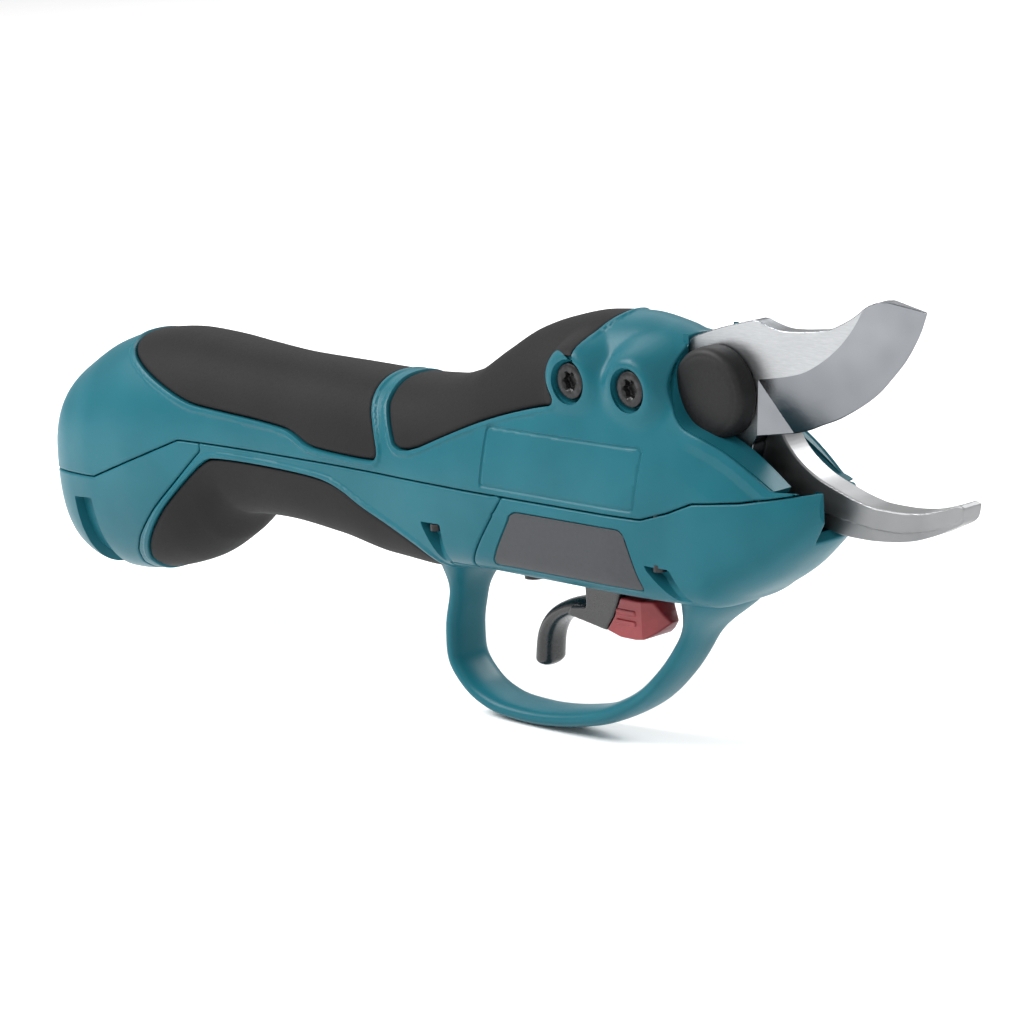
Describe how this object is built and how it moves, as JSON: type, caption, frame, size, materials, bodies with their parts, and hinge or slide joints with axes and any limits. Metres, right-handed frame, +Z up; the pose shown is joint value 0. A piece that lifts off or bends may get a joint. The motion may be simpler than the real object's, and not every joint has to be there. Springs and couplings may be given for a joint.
{
  "type": "battery electric pruner",
  "caption": "Hand-held electric bypass pruner: ergonomic rubber-gripped body, finger guard and trigger, power socket at the rear, screw-driven curved blade against a hook.",
  "frame": {"origin": "centre of the mouth of the power socket in the rear face", "axes": "+X along the tool towards the blades, +Z up through the head, -Y the side with the rating label and the pivot cap"},
  "size_m": [0.3015, 0.0402, 0.1112],
  "materials": {
    "teal_shell": "satin",
    "grip_rubber": "matte",
    "black_plastic": "satin",
    "trigger_black": "gloss",
    "lock_red": "satin",
    "label_grey": "matte",
    "blade_steel": "ground",
    "hook_steel": "satin",
    "frame_alloy": "machined",
    "dark_steel": "oxided",
    "bright_steel": "turned",
    "bronze": "turned",
    "copper": "wound",
    "contact_brass": "plated",
    "board_green": "lacquered"
  },
  "bodies": {
    "root": {"top_grip_rubber": "grip_rubber", "front_grip_rubber": "grip_rubber", "lower_grip_rubber": "grip_rubber", "socket_ring": "black_plastic", "socket_contacts": "contact_brass", "upper_housing": "teal_shell", "rear_lower_cover": "teal_shell", "lower_grip_shell": "teal_shell", "rating_label": "label_grey", "guard_housing": "teal_shell", "head_frame": "frame_alloy", "hook_blade": "hook_steel", "pivot_washer": "bright_steel", "pivot_bolt": "dark_steel", "lock_ring": "dark_steel", "pivot_nut": "bright_steel", "pivot_cap": "black_plastic", "motor_can": "dark_steel", "motor_stator": "copper", "motor_bearings": "bright_steel", "ring_gear": "bright_steel", "gear_case": "frame_alloy", "screw_bearing": "bright_steel", "trigger_pin": "bright_steel", "trigger_spring": "bright_steel", "trigger_sensor": "board_green", "control_board": "board_green", "board_parts": "black_plastic", "motor_leads": "grip_rubber", "side_screws": "dark_steel", "cover_screws": "dark_steel", "guard_screws": "dark_steel"},
    "blade_swing": {"blade": "blade_steel", "blade_bush": "bronze"},
    "nut_carriage": {"drive_nut": "bronze", "nut_yoke": "dark_steel", "yoke_pin": "bright_steel"},
    "screw_spindle": {"drive_screw": "bright_steel", "planet_carrier": "dark_steel"},
    "planet_1": {"planet_gear_1": "bright_steel"},
    "planet_2": {"planet_gear_2": "bright_steel"},
    "planet_3": {"planet_gear_3": "bright_steel"},
    "rotor": {"motor_rotor": "bright_steel", "sun_gear": "bright_steel"},
    "trigger_lever": {"trigger": "trigger_black", "lock_pin": "bright_steel"},
    "lock_catch": {"lock_lever": "lock_red"}
  },
  "joints": [
    {"name": "motor_spin", "type": "hinge", "parent": "root", "child": "rotor", "pos_m": [0.092, 0, 0.016], "axis": [1, 0, 0], "range_deg": [0, 3183]},
    {"name": "blade_pivot", "type": "hinge", "parent": "root", "child": "blade_swing", "pos_m": [0.237, 0, 0.0415], "axis": [0, 1, 0], "range_deg": [0, 44]},
    {"name": "nut_slide", "type": "slide", "parent": "root", "child": "nut_carriage", "axis": [1, 0, 0], "range_m": [-0.02212, 0]},
    {"name": "screw_spin", "type": "hinge", "parent": "root", "child": "screw_spindle", "pos_m": [0.13, 0, 0.016], "axis": [1, 0, 0], "range_deg": [0, 796]},
    {"name": "planet_spin_1", "type": "hinge", "parent": "screw_spindle", "child": "planet_1", "pos_m": [0.117, 0.006, 0.016], "axis": [1, 0, 0], "range_deg": [-2388, 0]},
    {"name": "planet_spin_2", "type": "hinge", "parent": "screw_spindle", "child": "planet_2", "pos_m": [0.117, -0.003, 0.0212], "axis": [1, 0, 0], "range_deg": [-2388, 0]},
    {"name": "planet_spin_3", "type": "hinge", "parent": "screw_spindle", "child": "planet_3", "pos_m": [0.117, -0.003, 0.0108], "axis": [1, 0, 0], "range_deg": [-2388, 0]},
    {"name": "trigger_pull", "type": "hinge", "parent": "root", "child": "trigger_lever", "pos_m": [0.196, 0, -0.002], "axis": [0, 1, 0], "range_deg": [0, 10], "stiffness_Nm_per_rad": 0.3, "springref_deg": -11.46},
    {"name": "lock_tilt", "type": "hinge", "parent": "trigger_lever", "child": "lock_catch", "pos_m": [0.203, 0, -0.0065], "axis": [0, -1, 0], "range_deg": [0, 15], "stiffness_Nm_per_rad": 0.05, "springref_deg": -17.19}
  ],
  "couplings": [
    {"joint": "blade_pivot", "follows": "motor_spin", "ratio": 0.01382},
    {"joint": "nut_slide", "follows": "motor_spin", "m_per_rad": -0.00039789},
    {"joint": "screw_spin", "follows": "motor_spin", "ratio": 0.25},
    {"joint": "planet_spin_1", "follows": "motor_spin", "ratio": -0.75},
    {"joint": "planet_spin_2", "follows": "motor_spin", "ratio": -0.75},
    {"joint": "planet_spin_3", "follows": "motor_spin", "ratio": -0.75}
  ]
}
